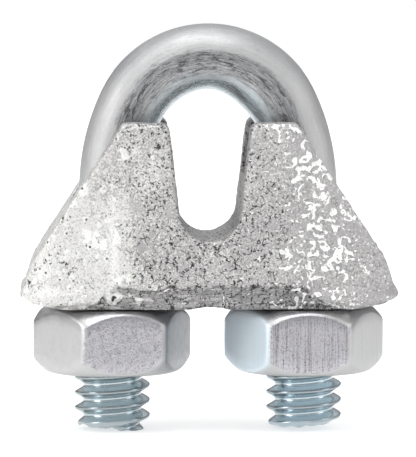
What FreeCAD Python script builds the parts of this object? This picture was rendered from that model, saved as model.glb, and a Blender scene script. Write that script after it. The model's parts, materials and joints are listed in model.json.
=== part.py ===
"""Wire rope clip for 3/16 in (5 mm) rope: a cast saddle, a U-bolt and two hexagon nuts.

Millimetres. X runs from leg to leg, Y along the rope and Z from the nuts up to the bow.
The origin lies on the axis of the rope seat, midway between the legs.
"""
import FreeCAD
import Part
import math
import os

# Rope seat and throat of the saddle
rope_seat_radius = 2.5
throat_flare = 6.8  # lean of each throat wall from upright, degrees
throat_wall = 2.0  # metal between the rope seat and a leg hole
seat_floor = 5.72  # metal under the rope seat
horn_height = 7.2  # top of the horns above the rope axis
horn_round_inner = 0.75
horn_round_outer = 0.35

# Saddle body
saddle_depth = 12.0  # along the rope
boss_reach = 7.84  # from a leg's axis to the end of the saddle, at its base
boss_setback = 0.4  # how far the end bosses lie behind the middle block's faces
boss_step = 0.6  # where that setback starts, inside a leg's axis
boss_step_slope = 2.0  # run of the setback's slope for each unit of setback
boss_step_round = 0.8
boss_corner = 3.6  # plan radius of the end bosses
end_lean = 17.2  # lean of the short end wall, degrees
end_height = 4.0  # height of the short end wall
shoulder_lean = 33.2  # lean of the long sloping shoulder, degrees
shoulder_round = 2.5
base_corner = 1.4
skirt_height = 2.0  # band round the base that tapers in under the casting
skirt_inset = 0.8
skirt_foot_round = 0.4
skirt_top_round = 0.5
depth_draft = 0.35  # how much each face leans back from skirt to horn top
horn_face_round = 0.9
horn_face_overrun = 0.15  # how far above the flat horn tops their face rounding would end
mouth_round = 0.45  # rounding of the throat's two mouths
mouth_round_stop = 0.5  # how far below the horn tops an edge must lie to take that rounding
underside_arch_width = 3.2  # shallow relief between the two nut seats
underside_arch_rise = 0.25
drill_overrun = 1.0  # how far a cutter passes the casting's faces
edge_tolerance = 0.01  # how near a rounding's edge must lie to the face it is looked for on

# Thread, 1/4 in by 20 to the inch, right hand, rolled on a blank of its pitch diameter
thread_pitch = 1.27
thread_major = 6.28
thread_depth = 0.70
thread_crest_flat = 0.20
thread_length = 15.0
thread_phase = 2.5  # a crest on the +X side of each leg lies this far below its nut
thread_lead_out = 0.4  # cone from the crests back down to the bar
rolled_height = 0.65  # height of the crests over the rolled blank, as a share of the pitch
thread_flank_angle = 30.0  # each flank's lean from square to the leg, degrees
cutter_overrun = 0.08  # how far a thread cutter's section passes the surface it cuts
groove_start_angle = 40.0  # keeps a groove's start off the seams of the cylinders, degrees
leg_hole_room = 0.36  # radial room round the crests in the saddle's leg holes

# Bow
crown_inner_height = 9.74  # underside of the bow above the rope axis
crown_inset = 0.9  # how much smaller the crown's radius is than half the leg spacing
crown_half_angle = 65.0  # where the crown's arc meets the flatter shoulder arcs, degrees
bow_room = 0.25  # least room between the bow and the saddle once tightened
tightening_travel = 2.86  # how far the nuts can still draw the bow down

# Nuts
nut_across_flats = 11.75
nut_height = 5.44
nut_corner_round = 0.5
nut_chamfer_angle = 30.0
nut_face_circle = 0.93  # diameter of the flat ring on each face as a share of the flats
nut_seat_gap = 0.05
nut_thread_room = 0.07  # room along the axis on each flank
nut_crest_room = 0.15  # radial room over the bolt's crests and under the nut's own
nut_countersink = 0.12  # radial width of each countersink outside the thread
countersink_slope = 30.0  # rise of the countersink from the face, degrees
tap_overrun = 1.0  # how far the tap and the countersinks pass each face
left_nut_turn = 9.9  # how far the left nut has stopped past square to the saddle, degrees
right_nut_turn = 1.7

# Sheared ends of the legs
left_leg_stub = 4.74  # how far each leg stands out below its nut
right_leg_stub = 4.58
shear_tilt = 4.0  # degrees
shear_room = 1.0  # how far the shearing blade and the lead-out cone pass the crests

crest_radius = thread_major / 2
root_radius = crest_radius - thread_depth
bar_radius = (thread_major - rolled_height * thread_pitch) / 2
hole_radius = crest_radius + leg_hole_room
leg_x = rope_seat_radius + throat_wall + hole_radius
base_z = -rope_seat_radius - seat_floor
half_depth = saddle_depth / 2
half_length = leg_x + boss_reach
nut_top = base_z - nut_seat_gap
nut_bottom = nut_top - nut_height
longest_stub = max(left_leg_stub, right_leg_stub)
thread_top = nut_bottom - longest_stub + thread_length
crest_height = nut_bottom - thread_phase
flank_slope = math.tan(math.radians(thread_flank_angle))
groove_root_flat = thread_pitch - thread_crest_flat - 2 * thread_depth * flank_slope

UP = FreeCAD.Vector(0, 0, 1)
ALONG_ROPE = FreeCAD.Vector(0, 1, 0)


def rounded_outline(corners, place):
    """A closed face through corners of (across, up, radius), put in space by place(across, up)."""
    edges = []
    points = [FreeCAD.Vector(a, u, 0) for a, u, _ in corners]
    starts, ends = [], []
    for i, (_, _, radius) in enumerate(corners):
        corner = points[i]
        before = (points[i - 1] - corner).normalize()
        after = (points[(i + 1) % len(points)] - corner).normalize()
        half_angle = before.getAngle(after) / 2
        reach = radius / math.tan(half_angle)
        inward = (before + after).normalize()
        centre = corner + inward * (radius / math.sin(half_angle))
        start = corner + before * reach
        end = corner + after * reach
        starts.append(start)
        ends.append(end)
        if radius:
            middle = centre - inward * radius
            arc = [place(p.x, p.y) for p in (start, middle, end)]
            edges.append(Part.Arc(*arc).toShape())
    for i in range(len(corners)):
        line_from = ends[i]
        line_to = starts[(i + 1) % len(corners)]
        ends_in_space = place(line_from.x, line_from.y), place(line_to.x, line_to.y)
        edges.append(Part.LineSegment(*ends_in_space).toShape())
    return Part.Face(Part.Wire(Part.__sortEdges__(edges)))


def front_view_prism():
    """The saddle's outline across the legs, drawn out along the rope."""
    end_rise = end_height * math.tan(math.radians(end_lean))
    kink_x = half_length - end_rise
    kink_z = base_z + end_height
    shoulder_run = (horn_height - kink_z) * math.tan(math.radians(shoulder_lean))
    flare = math.radians(throat_flare)
    apex_depth = rope_seat_radius / math.sin(flare)
    throat_top = (horn_height + apex_depth) * math.tan(flare)
    right_side = [
        (half_length, base_z, base_corner),
        (kink_x, kink_z, shoulder_round),
        (kink_x - shoulder_run, horn_height, horn_round_outer),
        (throat_top, horn_height, horn_round_inner),
    ]
    throat = [(0, -apex_depth, rope_seat_radius)]
    left_side = [(-x, z, radius) for x, z, radius in reversed(right_side)]
    outline = rounded_outline(
        right_side + throat + left_side,
        lambda across, up: FreeCAD.Vector(across, -half_depth, up),
    )
    return outline.extrude(ALONG_ROPE * saddle_depth)


def plan_view_prism():
    """The middle block and the two set-back bosses seen from above, drawn out upwards."""
    step_x = leg_x - boss_step
    boss_x = step_x + boss_setback * boss_step_slope
    boss_y = half_depth - boss_setback
    right_side = [
        (step_x, -half_depth, boss_step_round),
        (boss_x, -boss_y, boss_step_round),
        (half_length, -boss_y, boss_corner),
        (half_length, boss_y, boss_corner),
        (boss_x, boss_y, boss_step_round),
        (step_x, half_depth, boss_step_round),
    ]
    left_side = [(-x, -y, radius) for x, y, radius in right_side]
    outline = rounded_outline(
        right_side + left_side,
        lambda across, along: FreeCAD.Vector(across, along, base_z),
    )
    return outline.extrude(UP * (horn_height - base_z))


def end_view_prism():
    """The saddle seen along X: tapered skirt, drafted faces and rounded horn tops."""
    top_y = half_depth - depth_draft
    top_z = horn_height + horn_face_overrun
    skirt_top = base_z + skirt_height
    right_side = [
        (half_depth - skirt_inset, base_z, skirt_foot_round),
        (half_depth, skirt_top, skirt_top_round),
        (top_y, top_z, horn_face_round),
    ]
    left_side = [(-y, z, radius) for y, z, radius in reversed(right_side)]
    outline = rounded_outline(
        right_side + left_side,
        lambda along, up: FreeCAD.Vector(-half_length, along, up),
    )
    return outline.extrude(FreeCAD.Vector(2 * half_length, 0, 0))


def bow_centres():
    """Centre heights and radii of the bow's crown and shoulder arcs on the bar's centre line."""
    crown_radius = leg_x - crown_inset
    angle = math.radians(crown_half_angle)
    shoulder_radius = leg_x + crown_inset * math.sin(angle) / (1 - math.sin(angle))
    crown_z = crown_inner_height + bar_radius - crown_radius
    shoulder_z = crown_z + (crown_radius - shoulder_radius) * math.cos(angle)
    return crown_radius, crown_z, shoulder_radius, shoulder_z


def relief_floor():
    """Lowest height at which the bow's bend would meet a leg hole's inner wall once tightened."""
    _, _, shoulder_radius, shoulder_z = bow_centres()
    slack = hole_radius - bar_radius - bow_room
    rise = math.sqrt(2 * shoulder_radius * slack - slack**2)
    return shoulder_z + rise - tightening_travel


def saddle():
    """The casting, with two leg holes, a slot that the bow comes down in, and four horns."""
    body = front_view_prism().common(plan_view_prism()).common(end_view_prism())
    mouth_edges = [edge for edge in body.Edges if is_mouth_edge(edge)]
    body = body.makeFillet(mouth_round, mouth_edges)
    height = horn_height - base_z + 2 * drill_overrun
    for side in (-1, 1):
        foot = FreeCAD.Vector(side * leg_x, 0, base_z - drill_overrun)
        body = body.cut(Part.makeCylinder(hole_radius, height, foot, UP))
    floor = relief_floor()
    corner = FreeCAD.Vector(-leg_x, -hole_radius, floor)
    slot = Part.makeBox(2 * leg_x, 2 * hole_radius, height, corner)
    body = body.cut(slot)
    half_width = underside_arch_width / 2
    arch_radius = (half_width**2 + underside_arch_rise**2) / (2 * underside_arch_rise)
    arch_foot = FreeCAD.Vector(0, -half_depth, base_z + underside_arch_rise - arch_radius)
    arch = Part.makeCylinder(arch_radius, saddle_depth, arch_foot, ALONG_ROPE)
    return body.cut(arch)


def is_mouth_edge(edge):
    """Does this edge run round one of the throat's two mouths, below the horns' rounding?"""
    middle = edge.valueAt((edge.FirstParameter + edge.LastParameter) / 2)
    at_face = abs(middle.y) > half_depth - depth_draft - edge_tolerance
    in_throat = abs(middle.x) < rope_seat_radius + throat_wall / 2
    above_floor = middle.z > -rope_seat_radius - edge_tolerance
    return at_face and in_throat and above_floor and middle.z < horn_height - mouth_round_stop


def threaded_rod(bottom, groove_top, top, radial_room=0, flank_room=0):
    """A right-hand threaded rod on the Z axis: a cylinder less the helical groove of its thread.

    The thread is whole from bottom to groove_top and the rod runs on past both ends of its
    groove, up to top. With no room this is the legs' own thread; with room it is the hollow
    that suits that thread.
    """
    crest = crest_radius + radial_room
    root = root_radius + radial_room
    wide = crest + cutter_overrun
    half_root = groove_root_flat / 2 + radial_room * flank_slope - flank_room
    half_mouth = half_root + (wide - root) * flank_slope
    groove_height = crest_height + thread_pitch / 2
    turns_below = math.ceil((groove_height - bottom) / thread_pitch) + 1
    start = groove_height - turns_below * thread_pitch
    turns = math.ceil((groove_top - start) / thread_pitch)
    helix = Part.makeHelix(thread_pitch, turns * thread_pitch, root)
    helix.translate(UP * start)
    corners = [
        FreeCAD.Vector(root, 0, start - half_root),
        FreeCAD.Vector(wide, 0, start - half_mouth),
        FreeCAD.Vector(wide, 0, start + half_mouth),
        FreeCAD.Vector(root, 0, start + half_root),
    ]
    section = Part.makePolygon(corners + corners[:1])
    groove = Part.Wire(helix.Edges).makePipeShell([section], True, True)
    groove.rotate(FreeCAD.Vector(0, 0, 0), UP, groove_start_angle)
    groove.translate(UP * (thread_pitch * groove_start_angle / 360))
    foot = FreeCAD.Vector(0, 0, start - thread_pitch)
    return Part.makeCylinder(crest, top - foot.z, foot, UP).cut(groove)


def threaded_leg(stub, tilt):
    """A leg's thread, standing on the Z axis, with a cone at its top and sheared off below."""
    bottom = nut_bottom - stub
    outer = crest_radius + shear_room
    outer_drop = thread_lead_out * (outer - bar_radius) / (crest_radius - bar_radius)
    blade = 2 * outer
    envelope = turned_solid([
        (0, bottom - outer),
        (outer, bottom - outer),
        (outer, thread_top - outer_drop),
        (bar_radius, thread_top),
        (0, thread_top),
    ])
    corner = FreeCAD.Vector(-blade, -blade, -blade)
    shear = Part.makeBox(2 * blade, 2 * blade, blade, corner)
    shear.rotate(FreeCAD.Vector(0, 0, 0), ALONG_ROPE, tilt)
    shear.translate(UP * bottom)
    groove_top = thread_top - thread_lead_out - thread_pitch
    rod = threaded_rod(bottom - thread_pitch, groove_top, thread_top + shear_room)
    return rod.common(envelope.cut(shear))


def turned_solid(profile):
    """A solid of revolution about Z from its (radius, height) corners."""
    corners = [FreeCAD.Vector(radius, 0, height) for radius, height in profile]
    section = Part.Face(Part.makePolygon(corners + corners[:1]))
    return section.revolve(FreeCAD.Vector(0, 0, 0), UP, 360)


def disc(centre, normal):
    """A round section of the bar."""
    return Part.Face(Part.Wire(Part.makeCircle(bar_radius, centre, normal)))


def bow():
    """The bent bar, from the top of one thread over the crown to the top of the other."""
    crown_radius, crown_z, shoulder_radius, shoulder_z = bow_centres()
    crown_top = FreeCAD.Vector(0, 0, crown_z + crown_radius)
    crown_centre = FreeCAD.Vector(0, 0, crown_z)
    start = disc(crown_top, FreeCAD.Vector(1, 0, 0))
    start.rotate(crown_centre, ALONG_ROPE, -crown_half_angle)
    bar = start.revolve(crown_centre, ALONG_ROPE, 2 * crown_half_angle)
    for side in (-1, 1):
        leg_top = FreeCAD.Vector(side * leg_x, 0, shoulder_z)
        shoulder_centre = FreeCAD.Vector(side * (leg_x - shoulder_radius), 0, shoulder_z)
        swing = -side * (90 - crown_half_angle)
        bar = bar.fuse(disc(leg_top, UP).revolve(shoulder_centre, ALONG_ROPE, swing))
        straight = shoulder_z - thread_top
        foot = FreeCAD.Vector(side * leg_x, 0, thread_top)
        bar = bar.fuse(Part.makeCylinder(bar_radius, straight, foot, UP))
    return bar.removeSplitter()


def u_bolt():
    """The bow and its two threaded legs in one piece."""
    left = threaded_leg(left_leg_stub, shear_tilt)
    left.translate(FreeCAD.Vector(-leg_x, 0, 0))
    right = threaded_leg(right_leg_stub, -shear_tilt)
    right.translate(FreeCAD.Vector(leg_x, 0, 0))
    return bow().fuse(left).fuse(right)


def nut(turn):
    """A hexagon nut on the Z axis, chamfered at both faces and tapped to suit the legs."""
    corner_radius = nut_across_flats / 2 / math.cos(math.radians(30))
    corners = []
    for step in range(6):
        angle = math.radians(turn - 30 + 60 * step)
        corners.append((corner_radius * math.sin(angle), -corner_radius * math.cos(angle)))
    outline = rounded_outline(
        [(x, y, nut_corner_round) for x, y in corners],
        lambda across, along: FreeCAD.Vector(across, along, nut_bottom),
    )
    hexagon = outline.extrude(UP * nut_height)
    face_radius = nut_face_circle * nut_across_flats / 2
    drop = (corner_radius - face_radius) * math.tan(math.radians(nut_chamfer_angle))
    chamfered_profile = [
        (0, nut_bottom),
        (face_radius, nut_bottom),
        (corner_radius, nut_bottom + drop),
        (corner_radius, nut_top - drop),
        (face_radius, nut_top),
        (0, nut_top),
    ]
    groove_top = nut_top + tap_overrun
    tap = threaded_rod(
        nut_bottom - tap_overrun,
        groove_top,
        groove_top + 2 * thread_pitch,
        nut_crest_room,
        nut_thread_room,
    )
    tapped = hexagon.common(turned_solid(chamfered_profile)).cut(tap)
    tip_radius = root_radius  # inside the bore, so that each countersink runs out in it
    mouth_radius = crest_radius + nut_crest_room + nut_countersink
    slope = math.tan(math.radians(countersink_slope))
    wide_radius = mouth_radius + tap_overrun
    depth = (wide_radius - tip_radius) * slope
    stand_out = tap_overrun * slope
    lower = FreeCAD.Vector(0, 0, nut_bottom - stand_out)
    upper = FreeCAD.Vector(0, 0, nut_top + stand_out - depth)
    tapped = tapped.cut(Part.makeCone(wide_radius, tip_radius, depth, lower, UP))
    return tapped.cut(Part.makeCone(tip_radius, wide_radius, depth, upper, UP))


def placed_nut(side, turn):
    """A nut moved onto the axis of one leg."""
    shape = nut(turn)
    shape.translate(FreeCAD.Vector(side * leg_x, 0, 0))
    return shape


pieces = {
    "saddle": saddle(),
    "u_bolt": u_bolt(),
    "left_nut": placed_nut(-1, left_nut_turn),
    "right_nut": placed_nut(1, right_nut_turn),
}
os.makedirs("parts", exist_ok=True)
for name, shape in pieces.items():
    box = shape.BoundBox
    print(name, len(shape.Solids), shape.isValid(), round(shape.Volume, 2), box)
    shape.exportStep(f"parts/{name}.step")
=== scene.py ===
import bpy
import bmesh
import json
import math
import numpy as np
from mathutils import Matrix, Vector, noise


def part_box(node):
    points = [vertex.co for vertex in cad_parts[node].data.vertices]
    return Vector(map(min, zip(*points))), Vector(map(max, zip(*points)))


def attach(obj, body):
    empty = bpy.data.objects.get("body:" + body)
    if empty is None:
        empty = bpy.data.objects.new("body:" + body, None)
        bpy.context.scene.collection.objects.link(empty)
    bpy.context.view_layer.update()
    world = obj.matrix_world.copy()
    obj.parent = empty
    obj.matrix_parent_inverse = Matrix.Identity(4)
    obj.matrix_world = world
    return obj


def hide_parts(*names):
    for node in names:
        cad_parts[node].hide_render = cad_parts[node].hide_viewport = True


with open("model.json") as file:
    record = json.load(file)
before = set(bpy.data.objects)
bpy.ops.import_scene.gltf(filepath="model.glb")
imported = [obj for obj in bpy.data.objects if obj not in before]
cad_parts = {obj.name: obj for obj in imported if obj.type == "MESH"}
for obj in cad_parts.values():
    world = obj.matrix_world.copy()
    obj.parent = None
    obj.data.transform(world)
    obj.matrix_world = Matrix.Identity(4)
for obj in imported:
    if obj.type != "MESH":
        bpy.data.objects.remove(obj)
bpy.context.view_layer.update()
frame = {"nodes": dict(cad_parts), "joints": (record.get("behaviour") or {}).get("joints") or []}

# ---------------------------------------------------------------------------------------------
# Saddle: malleable iron, sand cast and hot-dip galvanised. A rope throat runs between two pairs
# of horns, and the bolt's legs pass down its two cored holes. The sand leaves the faces grainy
# and pitted, the mould's joint leaves a ledge along the skirt, and the zinc lies on it in drops.
MM = 0.001
low, high = (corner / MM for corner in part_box("saddle"))
base_z = low.z
half_length = high.x
leg_x = next(j["pos_m"][0] for j in frame["joints"] if j["name"] == "right_nut_turn") / MM

grain_voxel = 0.125
grain_height = 0.030
grain_waves = 1.9  # a millimetre
lump_height = 0.050
lump_waves = 0.55
ledge_height = 1.95  # of the mould's joint above the saddle's base
ledge_step = 0.14
ledge_wobble = 0.75
ledge_waves = 0.30
ledge_ripple = 0.35  # finer wandering, as a share of the wobble
ripple_waves = 1.1
ledge_lip = 0.05  # of flash standing out along the joint
ledge_lip_width = 0.16
ledge_end = 11.0  # where the joint has run down to the base, from the middle of the saddle
skirt_height = 2.0
skirt_taper = 0.4  # lean of the skirt, filled again at the two ends
foot_height = 1.5
foot_lift = 0.40  # of the base's edge at the two ends
foot_start = 11.5
pit_spacing = 0.62
pit_reach = 0.42  # in spacings
pit_rarity = 0.45  # share of the places that stay without a pit
pit_depth = 0.11
drop_spacing = 0.85
drop_reach = 0.40
drop_rarity = 0.40
drop_height = 0.07
drop_start = 6.5  # zinc hangs in drops on the two end bosses only
drop_full = 9.5
bore_calm = 4.0  # the cored holes keep their size within this distance of a leg's axis
deepest = 0.16  # limits of all the roughness together, in from the casting's face and out of it
highest = 0.6

source = frame["nodes"]["saddle"].data
casting = bmesh.new()
casting.from_mesh(source)
bmesh.ops.scale(casting, vec=Vector((1, 1, 1)) / MM, verts=casting.verts)
bmesh.ops.remove_doubles(casting, verts=casting.verts, dist=0.0005)
rough_mesh = bpy.data.meshes.new("saddle_rough")
casting.to_mesh(rough_mesh)
casting.free()
rough = bpy.data.objects.new("saddle_rough", rough_mesh)
bpy.context.scene.collection.objects.link(rough)
remesh = rough.modifiers.new("grain", "REMESH")
remesh.mode = "VOXEL"
remesh.voxel_size = grain_voxel
remesh.use_smooth_shade = True
worn = rough.modifiers.new("worn_edges", "SMOOTH")
worn.factor = 0.5
worn.iterations = 6
saddle_mesh = bpy.data.meshes.new_from_object(
    rough.evaluated_get(bpy.context.evaluated_depsgraph_get())
)
bpy.data.objects.remove(rough)


def read_points(mesh):
    """A mesh's vertices and their normals as two arrays."""
    points = np.empty(len(mesh.vertices) * 3)
    normals = np.empty(len(mesh.vertices) * 3)
    mesh.vertices.foreach_get("co", points)
    mesh.vertices.foreach_get("normal", normals)
    return points.reshape(-1, 3), normals.reshape(-1, 3)


def write_mask(mesh, name, values):
    """Keep a number per vertex under a name that a material can read."""
    mask = mesh.attributes.new(name, "FLOAT", "POINT")
    mask.data.foreach_set("value", np.asarray(values, np.float32))


def step_between(values, start, end):
    """0 before start, 1 past end, smooth in between."""
    t = np.clip((values - start) / (end - start), 0, 1)
    return t * t * (3 - 2 * t)


points, normals = read_points(saddle_mesh)
x, y, z = points.T
lumps = np.array([noise.noise(Vector(p) * lump_waves) for p in points])
grain = np.array([noise.fractal(Vector(p) * grain_waves, 0.7, 2.1, 4) for p in points])
wobble = np.array([noise.noise(Vector((p[0] * ledge_waves, 7.0, 0.0))) for p in points])
ripple = np.array([noise.noise(Vector((p[0] * ripple_waves, 3.0, 0.0))) for p in points])
wobble += ripple * ledge_ripple
at_ends = step_between(np.abs(x), ledge_end - 4.0, ledge_end)
ledge_line = base_z + ledge_height * (1 - at_ends) + ledge_wobble * wobble
pits = np.zeros(len(points))
drops = np.zeros(len(points))
for i, p in enumerate(points):
    distances, centres = noise.voronoi(Vector(p) / pit_spacing)
    if noise.cell(centres[0] * 3.1) > pit_rarity:
        pits[i] = max(0.0, 1 - distances[0] / pit_reach)
    distances, centres = noise.voronoi(Vector(p) / drop_spacing + Vector((9.0, 4.0, 2.0)))
    if noise.cell(centres[0] * 5.3) > drop_rarity:
        drops[i] = max(0.0, 1 - distances[0] / drop_reach)
pits = step_between(pits, 0.0, 0.9)
drops = step_between(drops, 0.0, 0.8)
drops *= step_between(np.abs(x), drop_start, drop_full)

above = step_between(z - ledge_line, -0.12, 0.12)
upright = 1 - step_between(np.abs(normals[:, 2]), 0.6, 0.9)
rise = lump_height * lumps + grain_height * grain - pit_depth * pits + drop_height * drops
rise -= ledge_step * (1 - above) * upright
foot_fade = step_between(z - base_z, 0.3, 1.3)
rise += skirt_taper * np.clip(base_z + skirt_height - z, 0, 1.5) * foot_fade * at_ends * upright
edge_line = np.exp(-(((z - ledge_line) / ledge_lip_width) ** 2)) * upright
rise += ledge_lip * edge_line
from_leg = np.hypot(np.abs(x) - leg_x, y)
in_bore = 1 - step_between(from_leg, bore_calm - 0.4, bore_calm)
under = step_between(-normals[:, 2], 0.6, 0.9) * (z < base_z + 0.5)
rise = rise * (1 - 0.9 * in_bore)
rise = np.where(under > 0.5, np.minimum(rise * 0.3 - 0.02, 0), rise)
rise = np.clip(rise, -deepest, highest)
points = points + normals * rise[:, None]
near_foot = np.clip(1 - (z - base_z) / foot_height, 0, 1)
points[:, 2] += foot_lift * step_between(np.abs(x), foot_start, half_length - 0.8) * near_foot
points = points * MM
saddle_mesh.vertices.foreach_set("co", points.ravel())
write_mask(saddle_mesh, "pit", pits)
write_mask(saddle_mesh, "drop", drops)
write_mask(saddle_mesh, "above_ledge", above)
write_mask(saddle_mesh, "ledge_edge", edge_line)
saddle_mesh.shade_smooth()
saddle = bpy.data.objects.new("saddle_casting", saddle_mesh)
bpy.context.scene.collection.objects.link(saddle)


class Value:
    """A material's socket. Arithmetic on it adds Math nodes, and add() adds any other node."""

    def __init__(self, tree, socket=None):
        self.tree = tree
        self.socket = socket

    def add(self, kind, settings=None, inputs=None, output=0):
        node = self.tree.nodes.new(kind)
        for name, value in (settings or {}).items():
            setattr(node, name, value)
        for name, value in (inputs or {}).items():
            if isinstance(value, Value):
                self.tree.links.new(value.socket, node.inputs[name])
            else:
                node.inputs[name].default_value = value
        return Value(self.tree, node.outputs[output])

    def math(self, operation, *values):
        return self.add("ShaderNodeMath", {"operation": operation}, dict(enumerate(values)))

    def __add__(self, other):
        return self.math("ADD", self, other)

    __radd__ = __add__

    def __sub__(self, other):
        return self.math("SUBTRACT", self, other)

    def __rsub__(self, other):
        return self.math("SUBTRACT", other, self)

    def __mul__(self, other):
        return self.math("MULTIPLY", self, other)

    __rmul__ = __mul__

    def smooth(self, start, end):
        """0 where this is under start and 1 where it is past end."""
        ends = {"Value": self, "From Min": start, "From Max": end}
        return self.add("ShaderNodeMapRange", {"interpolation_type": "SMOOTHSTEP"}, ends)

    def colours(self, dark, light):
        """From one colour to another as this goes from 0 to 1."""
        settings = {"data_type": "RGBA"}
        return self.add("ShaderNodeMix", settings, {0: self, 6: dark, 7: light}, 2)

    def speckle(self, place, scale, detail=3.0, roughness=0.6):
        """Cloudy noise, about half on average."""
        inputs = {"Vector": place, "Scale": scale, "Detail": detail, "Roughness": roughness}
        return self.add("ShaderNodeTexNoise", {}, inputs)

    def cells(self, place, scale):
        """Distance to the nearest of a scatter of points."""
        return self.add("ShaderNodeTexVoronoi", {}, {"Vector": place, "Scale": scale})

    def stretched(self, place, scale):
        return self.add("ShaderNodeMapping", {}, {"Vector": place, "Scale": scale})

    def mask(self, name):
        return self.add("ShaderNodeAttribute", {"attribute_name": name}, {}, "Fac")


def new_metal(name):
    """A metallic material: its first Value, and its shader node to set and link."""
    material = bpy.data.materials.new(name)
    material.use_nodes = True
    shader = material.node_tree.nodes["Principled BSDF"]
    shader.inputs["Metallic"].default_value = 1.0
    return material, Value(material.node_tree), shader


def feed(value, shader, name):
    value.tree.links.new(value.socket, shader.inputs[name])


def place_in_mm(v):
    """A point of the piece in millimetres, and its three coordinates."""
    here = v.add("ShaderNodeTexCoord", {}, {}, "Object")
    scaled = v.add(
        "ShaderNodeVectorMath", {"operation": "SCALE"}, {"Vector": here, "Scale": 1 / MM}
    )
    parts = [v.add("ShaderNodeSeparateXYZ", {}, {"Vector": scaled}, axis) for axis in "XYZ"]
    return scaled, parts


def bump(v, shader, height, distance_mm, strength=1.0):
    inputs = {"Height": height, "Distance": distance_mm * MM, "Strength": strength}
    feed(v.add("ShaderNodeBump", {}, inputs, "Normal"), shader, "Normal")


zinc_pale = (0.74, 0.735, 0.715, 1)
zinc_grey = (0.415, 0.405, 0.41, 1)
zinc_deep = (0.25, 0.245, 0.25, 1)
crack_black = (0.018, 0.017, 0.018, 1)
drop_white = (0.95, 0.95, 0.93, 1)
cast_zinc, v, shader = new_metal("galvanised_casting")
place, (px, py, pz) = place_in_mm(v)
pit = v.mask("pit")
drop = v.mask("drop")
above_ledge = v.mask("above_ledge")
ledge_edge = v.mask("ledge_edge")
broad = v.speckle(place, 0.30, 2.0)
cluster = v.speckle(place, 0.60, 3.0, 0.6)
medium = v.speckle(place, 1.6, 4.0, 0.65)
fine = v.speckle(place, 4.5, 3.0, 0.7)
sand = v.speckle(place, 11.0, 2.0, 0.7)
grit = v.speckle(place, 6.5, 1.0, 0.5)
sway = (broad - 0.5) * 9.0 + (medium - 0.5) * 2.5
left_side = (sway - px).smooth(4.0, 9.0)
right_boss = (px + sway).smooth(4.5, 7.5)
right_zone = (px + sway * 0.6).smooth(4.8, 7.6)
low_down = 1 - pz.smooth(0.5, 6.5)
calm = left_side * low_down

# grey over the middle, paler zinc on the left, and darker metal below the mould's joint
paleness = calm * 0.6 + right_boss * 0.15 + broad * 0.8 + medium * 0.6 + (fine - 0.5) * 1.6 - 0.38
paleness = paleness + (grit - 0.5) * (2.4 - 0.5 * right_zone) - 0.35 * right_zone
tone = paleness.smooth(0.0, 1.0).colours(zinc_grey, zinc_pale)
flow = v.speckle(v.stretched(place, (0.35, 1.0, 2.2)), 1.6, 4.0, 0.7)
below = (1 - above_ledge) * (0.5 + (flow - 0.5) * 1.6)
tone = below.smooth(0.0, 1.0).colours(tone, zinc_deep)

# black pin holes in clusters, short wriggling cracks, and a few long ones round whole islands
wriggle = v.speckle(place, 2.4, 3.0, 0.6) - 0.5
wriggle = 1 - (wriggle * wriggle).smooth(0.0, 0.0032)
broken = v.add("ShaderNodeTexNoise", {}, {"Vector": place, "Scale": 3.6, "Detail": 1.0})
wriggle = wriggle * broken.smooth(0.50, 0.60) * (cluster + 0.07 - 0.15 * calm).smooth(0.43, 0.55)
pin_cells = v.cells(place, 2.6)
pins = (1 - (pin_cells + fine * 0.5).smooth(0.34, 0.46)) * (cluster + fine * 0.2).smooth(0.54, 0.66)
warped = v.add(
    "ShaderNodeVectorMath",
    {"operation": "ADD"},
    {0: place, 1: v.add("ShaderNodeTexNoise", {}, {"Vector": place, "Scale": 1.1}, "Color")},
)
island_edge = v.add(
    "ShaderNodeTexVoronoi",
    {"feature": "DISTANCE_TO_EDGE"},
    {"Vector": warped, "Scale": 0.9},
)
crack = (1 - island_edge.smooth(0.0, 0.05)) * (medium + fine * 0.4).smooth(0.68, 0.78)
crack = crack * (1 - calm) * (1 - pz.smooth(-3.0, 2.0))
flow_line = (flow - 0.5) * (flow - 0.5)
flow_line = (1 - flow_line.smooth(0.0, 0.0012)) * (1 - above_ledge) * 0.35
motes = (sand * 0.5 + fine * 0.5).smooth(0.58, 0.66) * 0.7
dark = wriggle * 0.95 + pins * (1 - 0.4 * calm) + crack + pit * 0.3 + motes
dark = dark * (1 - 0.6 * right_zone * above_ledge) + flow_line
dark = (dark + ledge_edge * medium.smooth(0.4, 0.55) * 0.55).smooth(0.05, 1.0)

# glossy runs of zinc on the right end, and pools round a pit each on the left
run_field = v.add(
    "ShaderNodeTexNoise", {}, {"Vector": place, "Scale": 1.35, "Detail": 2.5, "Distortion": 1.2}
)
run_zone = right_boss * px.smooth(13.5, 11.0) * 0.145 - 0.02
zinc_run = (run_field + run_zone).smooth(0.665, 0.685)
run_rim = (run_field + run_zone).smooth(0.635, 0.66) - zinc_run
blob_cells = v.cells(warped, 1.7)
blob = (1 - (blob_cells + fine * 0.15).smooth(0.30, 0.36)) * right_zone * broken.smooth(0.49, 0.53)
zinc_run = (zinc_run + blob * above_ledge).smooth(0.0, 1.0)
pool_cells = v.cells(warped, 0.52)
pool = 1 - (pool_cells + fine * 0.25).smooth(0.40, 0.52)
pool = pool * left_side * (cluster + medium * 0.3).smooth(0.54, 0.62)
eye = 1 - (pool_cells + fine * 0.1).smooth(0.12, 0.18)
dot_cells = v.cells(place, 1.15)
dot_here = left_side * (medium + fine * 0.3).smooth(0.56, 0.66)
dot = (1 - (dot_cells + fine * 0.1).smooth(0.14, 0.20)) * dot_here
halo = (1 - (dot_cells + medium * 0.2).smooth(0.38, 0.46)) * dot_here - dot
glossy = (zinc_run + pool * 0.75 + halo * 0.5 + drop.smooth(0.5, 0.9) * right_boss).smooth(0.0, 1.0)
colour = dark.colours(tone, crack_black)
colour = (run_rim * 0.75).colours(colour, zinc_deep)
colour = glossy.colours(colour, drop_white)
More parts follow.
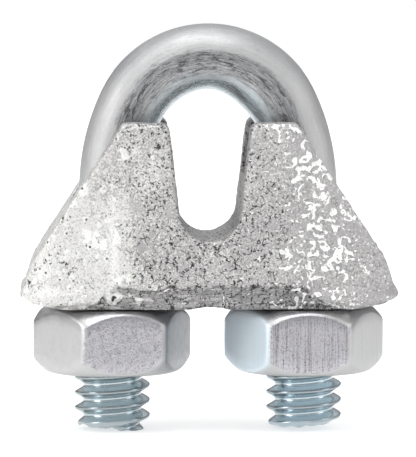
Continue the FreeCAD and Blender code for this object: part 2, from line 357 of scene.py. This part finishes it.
colour = (eye * pool * 0.9 + dot * 0.85).smooth(0.0, 1.0).colours(colour, crack_black)
colour = (sand.smooth(0.56, 0.68) * 0.4).colours(colour, zinc_deep)
feed(colour, shader, "Base Color")
feed(0.52 + (fine - 0.5) * 0.3 - 0.25 * glossy + 0.2 * dark, shader, "Roughness")
feed(0.85 - 0.6 * dark - 0.35 * glossy, shader, "Metallic")
relief = medium * 0.9 + fine * 0.6 + sand * 0.2 - dark * 0.6 + glossy * 0.4 - (eye * pool + dot) * 0.5
bump(v, shader, relief, 0.13, 1.0)
saddle.data.materials.append(cast_zinc)
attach(saddle, "saddle")
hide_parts("saddle")

# ---------------------------------------------------------------------------------------------
# U-bolt: round steel bar with a rolled right-hand thread on each leg, bent over a former and
# zinc plated. Drawing leaves fine lines along the bar, and the bend's inside is scuffed, with
# painted shade darkening it on the bow's lower inner front. The leg ends are as the shear left
# them: one torn into tongues, the other grainy.
bolt_low, bolt_high = (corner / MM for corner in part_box("u_bolt"))
nut_low, nut_high = (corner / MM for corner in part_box("left_nut"))
thread_pitch = 1.27
thread_major = 6.28
thread_depth = 0.70
crest_flat = 0.20
thread_phase = 2.5  # a crest on the +X side of each leg lies this far below its nut
thread_length = 15.0
lead_out = 0.4
crown_inset = 0.9
crown_half_angle = math.radians(65)
left_stub = 4.74
right_stub = 4.58
shear_tilt = math.radians(4)
tear_reach = 1.1  # of the metal dragged out of shape by the shear
tear_rise = 0.55
tear_waves = 0.95  # a millimetre
tear_lift = 0.12
torn_pinch = 0.16  # share of its width that a leg's end loses
sheared_pinch = 0.08
chip_height = 0.10
chip_waves = 1.6
tongue_height = 0.30
lip_height = 0.12  # along the torn end's outer side
lip_start = 0.8  # from the leg's axis
thread_blend = 0.10
rolled_height = 0.65  # of the crests over the bar, in pitches
flank_angle = math.radians(30)
draw_ripple = 0.018
left_swell = 0.12  # metal pushed up inside the bend by the former
right_swell = 0.34
bend_turns = 9  # of the winding strip over the bow, more than the pitch alone asks for
strip_margin = 0.5  # from the thread's top to where the strip's turns open out
unroll_radius = 3  # of the bar laid straight, where its drawn lines are placed
columns = 96
crest_rows = (0.0, 0.055, 0.105, 0.16, 0.26, 0.36, 0.43, 0.49, 0.56)  # from a crest's middle
end_allowance = 4.0

crest_radius = thread_major / 2
root_radius = crest_radius - thread_depth
bar_radius = (thread_major - rolled_height * thread_pitch) / 2
thread_top = nut_low.z - max(left_stub, right_stub) + thread_length
crest_height = nut_low.z - thread_phase
crown_radius = leg_x - crown_inset
crown_z = bolt_high.z - bar_radius - crown_radius
bend_sine = math.sin(crown_half_angle)
shoulder_radius = leg_x + crown_inset * bend_sine / (1 - bend_sine)
shoulder_z = crown_z + (crown_radius - shoulder_radius) * math.cos(crown_half_angle)
foot_z = bolt_low.z - end_allowance
straight = shoulder_z - foot_z
shoulder_arc = shoulder_radius * (math.pi / 2 - crown_half_angle)
crown_arc = 2 * crown_radius * crown_half_angle
bar_length = 2 * straight + 2 * shoulder_arc + crown_arc


def bar_line(along):
    """Centre (x, z) and direction (x, z) of the bar at each distance along it."""
    mirrored = along > bar_length / 2
    near = np.where(mirrored, bar_length - along, along)
    in_crown = near > straight + shoulder_arc
    in_leg = near < straight
    turn = math.pi - np.where(
        in_crown,
        math.pi / 2 - crown_half_angle + (near - straight - shoulder_arc) / crown_radius,
        np.maximum(near - straight, 0) / shoulder_radius,
    )
    centre_x = np.where(in_crown, 0, shoulder_radius - leg_x)
    centre_z = np.where(in_crown, crown_z, shoulder_z)
    radius = np.where(in_crown, crown_radius, shoulder_radius)
    line_x = centre_x + radius * np.cos(turn)
    line_z = centre_z + radius * np.sin(turn) + np.where(in_leg, near - straight, 0)
    way_x, way_z = np.sin(turn), -np.cos(turn)
    flip = np.where(mirrored, -1, 1)
    return line_x * flip, line_z, way_x, way_z * flip


def soft_least(a, b, blend):
    """The smaller of two values, with the corner between them rounded."""
    return np.minimum(a, b) - np.maximum(blend - np.abs(a - b), 0) ** 2 / (4 * blend)


def thread_radius(from_crest, crest, root, flat):
    """Radius of a 60 degree thread at a distance along the axis from a crest's middle."""
    nearest = np.abs((from_crest + thread_pitch / 2) % thread_pitch - thread_pitch / 2)
    flank = crest - (nearest - flat / 2) / math.tan(flank_angle)
    return -soft_least(-soft_least(flank, crest, thread_blend), -root, thread_blend)


phases = [d / thread_pitch for d in crest_rows] + [0.5]
phases += [1 - d / thread_pitch for d in reversed(crest_rows[1:])]
rows_a_turn = len(phases)
strip_top = thread_top + strip_margin
leg_turns = (strip_top - crest_height) / thread_pitch
left_turns = (foot_z - crest_height) / thread_pitch
right_crest = crest_height + thread_pitch / 2  # of a crest on the right leg's -X side
right_zero = math.ceil(leg_turns + bend_turns + (strip_top - right_crest) / thread_pitch)
last_turn = right_zero - (foot_z - right_crest) / thread_pitch
bend_start = strip_top - foot_z
bend_end = bar_length - bend_start
right_leg_turn = right_zero - (strip_top - right_crest) / thread_pitch


def along_at(turn):
    """Distance along the bar for a number of turns: a pitch each on the legs, more on the bow."""
    span = right_leg_turn - leg_turns
    t = (turn - leg_turns) / span
    end_slope = thread_pitch * span / (bend_end - bend_start)
    share = end_slope * t + (1 - end_slope) * t * t * (3 - 2 * t)
    bow = bend_start + (bend_end - bend_start) * share
    left = bend_start + (turn - leg_turns) * thread_pitch
    right = bend_end + (turn - right_leg_turn) * thread_pitch
    return np.where(turn < leg_turns, left, np.where(turn > right_leg_turn, right, bow))


first_row = math.ceil(left_turns) * rows_a_turn
last_row = math.floor(last_turn - 1) * rows_a_turn
rows = np.arange(first_row, last_row)
row_turns = rows // rows_a_turn + np.array(phases)[rows % rows_a_turn]
swing = np.arange(columns) / columns
turns = row_turns[:, None] + swing[None, :]
along = np.clip(along_at(turns), 0, bar_length)
angle = np.broadcast_to(2 * math.pi * swing, turns.shape)
line_x, line_z, way_x, way_z = bar_line(along)
across_x, across_z = way_z, -way_x  # of the section's first axis; its second is +Y
thread_here = np.where(along < bar_length / 2, line_z - crest_height, right_crest - line_z)
radius = thread_radius(thread_here - angle / (2 * math.pi) * thread_pitch,
                       crest_radius, root_radius, crest_flat)
fade = 1 - step_between(line_z, thread_top - lead_out - thread_pitch, thread_top)
radius = bar_radius + (radius - bar_radius) * fade
nick = np.array([
    noise.noise(Vector((s * 0.35, 2.2 * math.cos(a), 2.2 * math.sin(a))))
    for s, a in zip(along.ravel(), angle.ravel())
]).reshape(along.shape)
from_top = np.abs(along - bar_length / 2) / crown_radius
swell = step_between(from_top, 0.0, 0.75) * (1 - step_between(from_top, 0.85, 1.6))
inner_swell = np.where(along < bar_length / 2, left_swell, right_swell)
radius = radius + draw_ripple * nick + inner_swell * swell * np.maximum(np.cos(angle), 0) ** 2
out = np.cos(angle) * radius
bolt_points = np.stack(
    [line_x + across_x * out, np.sin(angle) * radius, line_z + across_z * out], axis=-1
)
straightened = np.stack(
    [along, np.cos(angle) * unroll_radius, np.sin(angle) * unroll_radius], axis=-1
).reshape(-1, 3)
strip_row = np.arange(len(rows) - rows_a_turn - 1)[:, None]
strip_column = np.arange(columns)[None, :]
here = strip_row * columns + strip_column
row_above = (strip_row + rows_a_turn) * columns  # the strip meets its next turn there
beside = np.where(strip_column == columns - 1, row_above, here + 1)
bolt_faces = np.stack([here, beside, beside + columns, here + columns], axis=-1).reshape(-1, 4)


def new_mesh(name, vertices, faces):
    """A mesh from arrays of points and of faces."""
    mesh = bpy.data.meshes.new(name)
    mesh.from_pydata(vertices.tolist(), [], faces.tolist())
    return mesh


bolt_mesh = new_mesh("u_bolt_bar", bolt_points.reshape(-1, 3), bolt_faces)
straight_place = bolt_mesh.attributes.new("straightened", "FLOAT_VECTOR", "POINT")
straight_place.data.foreach_set("vector", straightened.astype(np.float32).ravel())


def rough_end(bar, side, stub, tilt, torn):
    """Shear one leg off square to a slight tilt and fill its end with a broken face."""
    height = nut_low.z - stub
    normal = Vector((math.sin(tilt), 0, math.cos(tilt)))
    cut_place = Vector((side * leg_x, 0, height))
    points_below = [w for w in bar.verts if w.co.x * side > 0 and w.co.z < nut_low.z]
    leg = points_below + [
        e for e in bar.edges[:] + bar.faces[:]
        if e.verts[0].co.x * side > 0 and e.verts[0].co.z < nut_low.z
    ]
    bmesh.ops.bisect_plane(
        bar, geom=leg, dist=1e-5, plane_co=cut_place, plane_no=normal, clear_inner=True
    )
    edges = [e for e in bar.edges if e.is_boundary and e.verts[0].co.x * side > 0]
    loop = [edges[0].verts[0], edges[0].verts[1]]
    left_over = set(edges[1:])
    while True:
        link = next((e for e in loop[-1].link_edges if e in left_over), None)
        if link is None or link.other_vert(loop[-1]) is loop[0]:
            break
        left_over.discard(link)
        loop.append(link.other_vert(loop[-1]))
    middle = sum((w.co for w in loop), Vector()) / len(loop)
    ring = loop
    layer = bar.verts.layers.float_vector["straightened"]
    shares = (0.97, 0.92, 0.86, 0.79, 0.71, 0.62, 0.52, 0.42, 0.31, 0.20, 0.10)
    for share in shares:
        inner = []
        for w in loop:
            spot = middle + (w.co - middle) * share
            flat = Vector((spot.x, spot.y, 0))
            chips = noise.fractal(flat * chip_waves, 0.8, 2.0, 3)
            height_here = chip_height * chips * (1 - share ** 6)
            if torn:
                tongue = noise.noise(Vector((spot.x * 1.3 + 4, spot.y * 0.5, 1.0)))
                height_here += tongue_height * max(0.0, tongue)
                height_here += lip_height * (spot.x * side > leg_x + lip_start)
            spot.z += height_here - 0.04
            w_new = bar.verts.new(spot)
            w_new[layer] = w[layer]
            inner.append(w_new)
        for a in range(len(ring)):
            b = (a + 1) % len(ring)
            bar.faces.new((ring[a], ring[b], inner[b], inner[a]))
        ring = inner
    centre = bar.verts.new(sum((w.co for w in ring), Vector()) / len(ring))
    for a in range(len(ring)):
        bar.faces.new((ring[a], ring[(a + 1) % len(ring)], centre))
    for w in bar.verts:
        above_cut = w.co.z - height
        if w.co.x * side > 0 and above_cut < tear_reach:
            share = (1 - max(above_cut, 0) / tear_reach) ** 2
            wave = noise.noise(Vector((w.co.x * tear_waves, w.co.y * tear_waves * 0.6, 3.0 * side)))
            rise_here = (tear_rise if torn else tear_rise * 0.6) * (wave + tear_lift) * share
            w.co.z = max(w.co.z + rise_here, bolt_low.z)
            pull = 1 - (torn_pinch if torn else sheared_pinch) * share
            w.co.x = side * leg_x + (w.co.x - side * leg_x) * pull
            w.co.y *= pull


bar = bmesh.new()
bar.from_mesh(bolt_mesh)
rough_end(bar, -1, left_stub, shear_tilt, True)
rough_end(bar, 1, right_stub, -shear_tilt, False)
bmesh.ops.recalc_face_normals(bar, faces=bar.faces)
bmesh.ops.scale(bar, vec=Vector((MM, MM, MM)), verts=bar.verts)
bar.to_mesh(bolt_mesh)
bar.free()
bolt_mesh.shade_smooth()
bolt = bpy.data.objects.new("u_bolt_bar", bolt_mesh)
bpy.context.scene.collection.objects.link(bolt)

plate_light = (0.53, 0.53, 0.53, 1)
plate_grey = (0.36, 0.365, 0.375, 1)
plate_blue = (0.48, 0.58, 0.63, 1)
plate_green = (0.46, 0.54, 0.57, 1)
plate_dark = (0.05, 0.050, 0.052, 1)
plated_bar, v, shader = new_metal("zinc_plated_bar")
place, (px, py, pz) = place_in_mm(v)
bar_place = v.add("ShaderNodeAttribute", {"attribute_name": "straightened"}, {}, "Vector")
draw_lines = v.speckle(v.stretched(bar_place, (0.16, 3.2, 3.2)), 2.2, 5.0, 0.7)
scuffs = v.speckle(v.stretched(bar_place, (0.5, 1.6, 1.6)), 1.6, 4.0, 0.7)
cloud = v.speckle(place, 0.35, 3.0)
grit = v.speckle(place, 6.0, 2.0)
from_crown = v.add(
    "ShaderNodeVectorMath",
    {"operation": "DISTANCE"},
    {0: place, 1: v.add("ShaderNodeCombineXYZ", {}, {"X": 0.0, "Y": py, "Z": crown_z})},
    "Value",
)
on_bow = pz.smooth(3.0, 6.0)
ragged = (scuffs - 0.5) * 1.6
# the bend's inside: scuffed, and painted darker there as painted shade on the bow's lower inner front
scuff_and_shade_band = (1 - (from_crown + ragged).smooth(crown_radius + 0.4, crown_radius + 0.9)) * on_bow
scuff_and_shade_band = scuff_and_shade_band * from_crown.smooth(crown_radius - 2.0, crown_radius - 0.2)
innermost = (1 - from_crown.smooth(crown_radius - 2.1, crown_radius - 0.9)) * on_bow
on_thread = 1 - pz.smooth(thread_top - 1.0, thread_top + 0.5)
from_leg_x = v.math("ABSOLUTE", px) - leg_x
from_axis = v.math("SQRT", from_leg_x * from_leg_x + py * py)
at_crest = from_axis.smooth(crest_radius - 0.16, crest_radius - 0.02) * on_thread
line = (draw_lines - 0.5) * (draw_lines - 0.5)
crease = 1 - line.smooth(0.0, 0.0012)
scratch = scuffs.smooth(0.50, 0.62) * (0.08 + 0.8 * scuff_and_shade_band) + crease * (0.12 + 0.6 * scuff_and_shade_band)
scratch = scratch * (1 - 0.85 * on_thread)
# painted shade towards the bow's outer edge at its top
outer_crown_painted_shade = from_crown.smooth(crown_radius + 0.6, crown_radius + 2.6) * pz.smooth(8.0, 13.0)
tone = (cloud - 0.5) * 0.6 + (draw_lines - 0.5) * 0.9 + (grit - 0.5) * (0.7 + 1.6 * scuff_and_shade_band) + 0.8
# painted shade: darker over the scuffed band and towards the bow's outer top edge
tone = tone - 0.6 * scuff_and_shade_band - 0.6 * outer_crown_painted_shade
colour = tone.smooth(0.0, 1.0).colours(plate_grey, plate_light)
teal = (px + (cloud - 0.5) * 20.0).smooth(-9.0, 1.0).colours(plate_green, plate_blue)
colour = (on_thread * 0.85 + innermost * 0.6).colours(colour, teal)
colour = (at_crest * 0.35).colours(colour, plate_dark)
colour = (scratch.smooth(0.0, 1.0) * 0.8).colours(colour, plate_dark)
feed(colour, shader, "Base Color")
rough_here = 0.50 - 0.28 * on_thread - 0.26 * innermost
feed(rough_here + (draw_lines - 0.5) * 0.3 + (grit - 0.5) * 0.1, shader, "Roughness")
relief = (draw_lines * 0.5 + scuffs * 0.7 + grit * 0.25 - scratch * 0.5) * (1 - 0.85 * on_thread)
bump(v, shader, relief, 0.05, 0.8)
bolt.data.materials.append(plated_bar)
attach(bolt, "u_bolt")
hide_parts("u_bolt")

# ---------------------------------------------------------------------------------------------
# Nuts: two hexagon nuts, cold formed, double chamfered, tapped to suit the legs and zinc plated.
# They are run up against the saddle's underside, each stopped a few degrees past square. Their
# flats keep the die's lines on one and a fine stipple on the other.
across_flats = 11.75
corner_round = 0.9
chamfer_slope = math.tan(math.radians(30))
corner_droop = 0.5  # extra fall of the chamfer at a corner
face_share = 0.93
crest_room = 0.15
flank_room = 0.07
countersink_width = 0.12
edge_round = 0.16
bore_row = 0.06
flat_steps = 14
corner_steps = 8
dent_depth = 0.03
dimple_depth = 0.010
left_turn = math.radians(9.9)
right_turn = math.radians(1.7)


def hexagon_points():
    """Angle and radius round a hexagon with rounded corners, closest together at the corners."""
    flat = across_flats / 2
    corner_half = math.radians(30)
    centre = (flat - corner_round) / math.cos(corner_half)
    places = []
    for side in range(6):
        middle = math.radians(60 * side + 30)
        reach = (flat - corner_round) * math.tan(corner_half)
        for step in range(flat_steps):
            offset = reach * (2 * (step + 0.5) / flat_steps - 1)
            places.append((middle + math.atan2(offset, flat), math.hypot(offset, flat)))
        for step in range(corner_steps):
            swing = corner_half * (2 * (step + 0.5) / corner_steps - 1)
            reach_x = centre + corner_round * math.cos(swing)
            reach_y = corner_round * math.sin(swing)
            corner = middle + corner_half
            places.append((corner + math.atan2(reach_y, reach_x), math.hypot(reach_x, reach_y)))
    return np.array(places).T


def nut_mesh(name, side, turn, crest_place):
    """One nut round its leg's axis: flats, chamfers, faces, countersinks and the thread inside."""
    angle, hexagon = hexagon_points()
    angle = angle + turn
    bottom, top = nut_low.z, nut_high.z
    face = face_share * across_flats / 2
    corner_reach = hexagon.max() - face

    def fall(run):
        return run * chamfer_slope + corner_droop * (run / corner_reach) ** 2

    drop = fall(hexagon - face)
    mouth = crest_radius + crest_room + countersink_width
    rings = []

    def ring(radius, height):
        rings.append(np.stack([
            np.broadcast_to(radius, angle.shape), np.broadcast_to(height, angle.shape)
        ]))

    for share in (0, 0.35, 0.7):
        ring(mouth + (face - edge_round - mouth) * share, bottom)
    ring(face - edge_round * 0.9, bottom)
    ring(face - edge_round * 0.2, bottom + edge_round * 0.04)
    ring(face + edge_round * 0.5, bottom + edge_round * 0.33)
    for share in (0.25, 0.5, 0.75):
        run = edge_round + (hexagon - face - 2 * edge_round) * share
        ring(face + run, bottom + fall(run))
    ring(hexagon - edge_round, bottom + fall(hexagon - face - edge_round))
    ring(hexagon - edge_round * 0.25, bottom + drop - edge_round * 0.02)
    ring(hexagon, bottom + drop + edge_round)
    lower_half = list(rings)
    for share in (0.2, 0.4, 0.6, 0.8):
        ring(hexagon, bottom + drop + edge_round
             + (top - bottom - 2 * drop - 2 * edge_round) * share)
    for radius, height in reversed(lower_half):
        rings.append(np.stack([radius, top + bottom - height]))
    bore_count = round((top - bottom) / bore_row)
    slope = math.tan(flank_angle)
    for step in range(1, bore_count):
        height = top - (top - bottom) * step / bore_count
        wall = thread_radius(height - crest_place - (angle / (2 * math.pi)) * thread_pitch,
                             crest_radius + crest_room, root_radius + crest_room,
                             crest_flat - 2 * crest_room * slope + 2 * flank_room)
        cone = mouth - min(top - height, height - bottom) / slope
        ring(np.maximum(wall, cone), height)
    rings = np.stack(rings)
    radius, height = rings[:, 0], rings[:, 1]
    xs = side * leg_x + radius * np.cos(angle)
    ys = radius * np.sin(angle)
    vertices = np.stack([xs, ys, height], axis=-1).reshape(-1, 3)
    columns_round = len(angle)
    level = np.arange(len(rings))[:, None] * columns_round
    next_level = np.roll(level, -1, axis=0)
    column = np.arange(columns_round)[None, :]
    next_column = np.roll(column, -1, axis=1)
    faces = np.stack(
        [level + column, level + next_column, next_level + next_column, next_level + column],
        axis=-1,
    ).reshape(-1, 4)
    for i, p in enumerate(vertices):
        if radius.ravel()[i] > mouth + 0.1:
            dent = noise.noise(Vector(p) * 0.5) * dent_depth
            dent += noise.noise(Vector(p) * 1.7) * dimple_depth
            outward = Vector((p[0] - side * leg_x, p[1], 0)).normalized()
            vertices[i] = Vector(p) + outward * dent
    return new_mesh(name, vertices * MM, faces)


nut_grey = (0.50, 0.50, 0.50, 1)
nut_violet = (0.49, 0.48, 0.51, 1)
nut_blue_painted_light = (0.66, 0.76, 0.82, 1)
nut_shade = (0.30, 0.305, 0.32, 1)
nut_dark = (0.10, 0.10, 0.11, 1)
for side, body, turn, drawn in (
    (-1, "left_nut", left_turn, False),
    (1, "right_nut", right_turn, True),
):
    nut_body = bpy.data.objects.new(body + "_hexagon", nut_mesh(body, side, turn, crest_height))
    bpy.context.scene.collection.objects.link(nut_body)
    plated_nut, v, shader = new_metal("zinc_plated_" + body)
    place, (px, py, pz) = place_in_mm(v)
    facing = v.add("ShaderNodeTexCoord", {}, {}, "Normal")
    nx = v.add("ShaderNodeSeparateXYZ", {}, {"Vector": facing}, "X")
    ny = v.add("ShaderNodeSeparateXYZ", {}, {"Vector": facing}, "Y")
    line_stretch = (5.6, 5.6, 0.12) if drawn else (1.6, 1.6, 1.0)
    lines = v.speckle(v.stretched(place, line_stretch), 1.6, 3.0)
    stipple = v.speckle(place, 7.5, 2.0, 0.7)
    patches = v.speckle(place, 0.45, 3.0)
    front = (0 - ny).smooth(0.80, 0.95)
    tint = (front * 0.9 + (patches - 0.5) * 0.6).smooth(0.0, 1.0)
    colour = tint.colours(nut_grey, nut_violet)
    # flats facing -X: on the right nut a bluish tint, painted lighter as painted light against the
    # shade between the nuts
    left_flats_painted_light = (0 - nx).smooth(0.3, 0.6)
    if drawn:
        colour = (left_flats_painted_light * 0.85).colours(colour, nut_blue_painted_light)
        feed(1 - 0.75 * left_flats_painted_light, shader, "Metallic")
    # painted shade on the flats facing +X, strongest on the left nut, whose right flats face the
    # other nut
    colour = (nx.smooth(0.3, 0.6) * (0.2 if drawn else 0.8)).colours(colour, nut_shade)
    grooves = lines.smooth(0.50, 0.62) * (0.38 if drawn else 0.2)
    specks = (stipple.smooth(0.50, 0.66) * 0.4 + grooves) * (0.12 + front)
    colour = specks.colours(colour, nut_dark)
    # painted shadow of the saddle across each nut's top
    seat_shade = pz.smooth(nut_high.z - 0.9, nut_high.z - 0.1)
    colour = (seat_shade * 0.7).colours(colour, nut_shade)
    feed(colour, shader, "Base Color")
    feed(0.36 + (lines - 0.5) * 0.3 + (stipple - 0.5) * 0.2, shader, "Roughness")
    bump(v, shader, (lines * 0.8 + stipple * 0.6) * (0.2 + front) + patches * 0.5, 0.05, 0.8)
    nut_body.data.materials.append(plated_nut)
    nut_body.data.shade_smooth()
    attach(nut_body, body)
    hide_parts(body)

# ---------------------------------------------------------------------------------------------
# Bench and light: a plain white bench top, lit a little from below, under a white tent, with one
# wide soft light above and in front, a weaker one at each side, and a long lens a little above
# the clip's middle.
floor_size = 1.2
floor_z = bolt_low.z * MM
bpy.ops.mesh.primitive_grid_add(x_subdivisions=8, y_subdivisions=8, size=floor_size)
floor = bpy.context.object
floor.name = "bench_top"
floor.location = (0, 0, floor_z)
bench_white = bpy.data.materials.new("bench_white")
bench_white.use_nodes = True
bench_shader = bench_white.node_tree.nodes["Principled BSDF"]
bench_shader.inputs["Base Color"].default_value = (0.65, 0.65, 0.65, 1)
bench_shader.inputs["Emission Color"].default_value = (1, 1, 1, 1)
bench_shader.inputs["Emission Strength"].default_value = 0.55
bench_shader.inputs["Roughness"].default_value = 0.9
floor.data.materials.append(bench_white)

world = bpy.data.worlds.new("white_tent")
bpy.context.scene.world = world
world.use_nodes = True
tent = Value(world.node_tree)
tent_way = tent.add("ShaderNodeTexCoord", {}, {}, "Generated")
tent_up = tent.add("ShaderNodeSeparateXYZ", {}, {"Vector": tent_way}, "Z")
tent_seen = tent.add("ShaderNodeLightPath", {}, {}, "Is Camera Ray")
tent_low = (0.22, 0.22, 0.23, 1)
tent_high = (1.10, 1.10, 1.10, 1)
tent_grey = tent_up.smooth(0.0, 0.8).colours(tent_low, tent_high)
tent_colour = tent_seen.colours(tent_grey, (1, 1, 1, 1))
tent.tree.links.new(tent_colour.socket, world.node_tree.nodes["Background"].inputs["Color"])


def soft_light(name, place, size, power, aim=(0, 0, 0)):
    """A wide rectangular light that faces the clip; lengths in metres."""
    lamp = bpy.data.lights.new(name, "AREA")
    lamp.shape = "RECTANGLE"
    lamp.size, lamp.size_y = size
    lamp.energy = power
    holder = bpy.data.objects.new(name, lamp)
    holder.location = place
    holder.rotation_euler = (Vector(aim) - Vector(place)).to_track_quat("-Z", "Y").to_euler()
    bpy.context.scene.collection.objects.link(holder)


soft_light("top_light", (-0.05, -0.10, 0.40), (0.30, 0.20), 0.75)
soft_light("left_light", (-0.35, -0.15, 0.12), (0.12, 0.30), 0.5)
soft_light("right_light", (0.35, -0.12, 0.10), (0.12, 0.30), 0.22)

camera_distance = 0.350
camera_height = math.radians(5.0)
camera_side = math.radians(1.8)
aim = Vector((0, 0, -0.0019))
view_width = 0.03467
camera_data = bpy.data.cameras.new("long_lens")
camera_data.sensor_fit = "HORIZONTAL"
camera_data.lens = camera_data.sensor_width * camera_distance / view_width
camera_data.clip_start = 0.01
camera = bpy.data.objects.new("long_lens", camera_data)
bpy.context.scene.collection.objects.link(camera)
away = Vector((
    -math.sin(camera_side) * math.cos(camera_height),
    -math.cos(camera_side) * math.cos(camera_height),
    math.sin(camera_height),
))
camera.location = aim + away * camera_distance
camera.rotation_euler = (-away).to_track_quat("-Z", "Y").to_euler()
bpy.context.scene.camera = camera
bpy.context.scene.view_settings.view_transform = "Standard"
